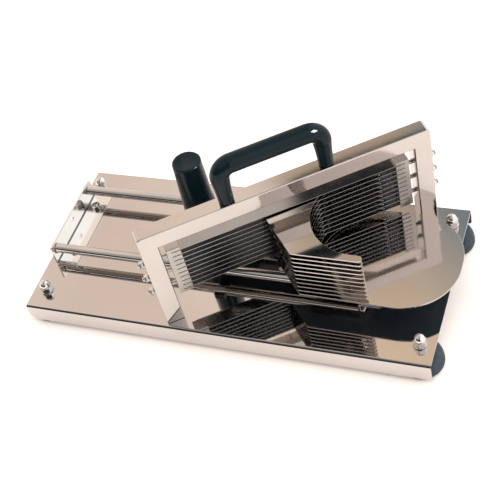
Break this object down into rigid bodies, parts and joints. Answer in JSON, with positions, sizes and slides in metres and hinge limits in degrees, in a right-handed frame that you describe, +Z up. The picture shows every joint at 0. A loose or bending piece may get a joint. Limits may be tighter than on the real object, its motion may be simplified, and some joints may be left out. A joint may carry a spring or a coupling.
{
  "type": "food slicer",
  "caption": "Hand-pushed bench slicer: a stack of bayed plates slides on rods and drives food through a slanted frame of thin level blades.",
  "frame": {"origin": "on the bench, under the middle of the base plate", "axes": "+X along the rods, the way the pusher cuts; +Y to the rear; +Z up"},
  "size_m": [0.448, 0.2, 0.2044],
  "materials": {
    "mirror_steel": "mirror-polished stainless sheet",
    "frame_steel": "bright polished stainless",
    "holder_steel": "satin stainless",
    "rod_steel": "ground and polished",
    "blade_steel": "ground",
    "plate_steel": "bright polished stainless",
    "bright_fastener": "polished",
    "black_gloss": "smooth gloss",
    "slide_plastic": "machined matte",
    "foot_rubber": "matte, slightly mottled"
  },
  "bodies": {
    "base": {"base_plate": "mirror_steel", "foot_front_left": "foot_rubber", "foot_front_right": "foot_rubber", "foot_rear_left": "foot_rubber", "foot_rear_right": "foot_rubber", "foot_nut_front_left": "bright_fastener", "foot_nut_front_right": "bright_fastener", "foot_nut_rear_left": "bright_fastener", "foot_nut_rear_right": "bright_fastener", "rod_bracket_left": "frame_steel", "rod_bracket_right": "frame_steel", "bracket_bolt_left_front": "bright_fastener", "bracket_bolt_left_rear": "bright_fastener", "bracket_bolt_right_front": "bright_fastener", "bracket_bolt_right_rear": "bright_fastener", "guide_rod_front": "rod_steel", "guide_rod_rear": "rod_steel", "rod_screw_front_left": "bright_fastener", "rod_screw_front_right": "bright_fastener", "rod_screw_rear_left": "bright_fastener", "rod_screw_rear_right": "bright_fastener", "blade_frame": "frame_steel", "frame_screw_left": "bright_fastener", "frame_screw_right": "bright_fastener", "blade_holder_left": "holder_steel", "blade_holder_right": "holder_steel", "tension_screw_left_1": "bright_fastener", "tension_screw_left_2": "bright_fastener", "tension_screw_left_3": "bright_fastener", "tension_screw_right_1": "bright_fastener", "tension_screw_right_2": "bright_fastener", "tension_screw_right_3": "bright_fastener", "blade_01": "blade_steel", "blade_02": "blade_steel", "blade_03": "blade_steel", "blade_04": "blade_steel", "blade_05": "blade_steel", "blade_06": "blade_steel", "blade_07": "blade_steel", "blade_08": "blade_steel", "blade_09": "blade_steel", "blade_10": "blade_steel", "carry_handle": "black_gloss"},
    "pusher": {"carriage_plate": "plate_steel", "slide_block_left": "slide_plastic", "slide_block_right": "slide_plastic", "push_grip": "black_gloss", "pusher_plate_01": "plate_steel", "pusher_plate_02": "plate_steel", "pusher_plate_03": "plate_steel", "pusher_plate_04": "plate_steel", "pusher_plate_05": "plate_steel", "pusher_plate_06": "plate_steel", "pusher_plate_07": "plate_steel", "pusher_plate_08": "plate_steel", "pusher_plate_09": "plate_steel", "pusher_plate_10": "plate_steel", "stack_post_front": "bright_fastener", "stack_post_rear": "bright_fastener"}
  },
  "joints": [
    {"name": "pusher_slide", "type": "slide", "parent": "base", "child": "pusher", "axis": [1, 0, 0], "range_m": [-0.153, 0.0125]}
  ]
}
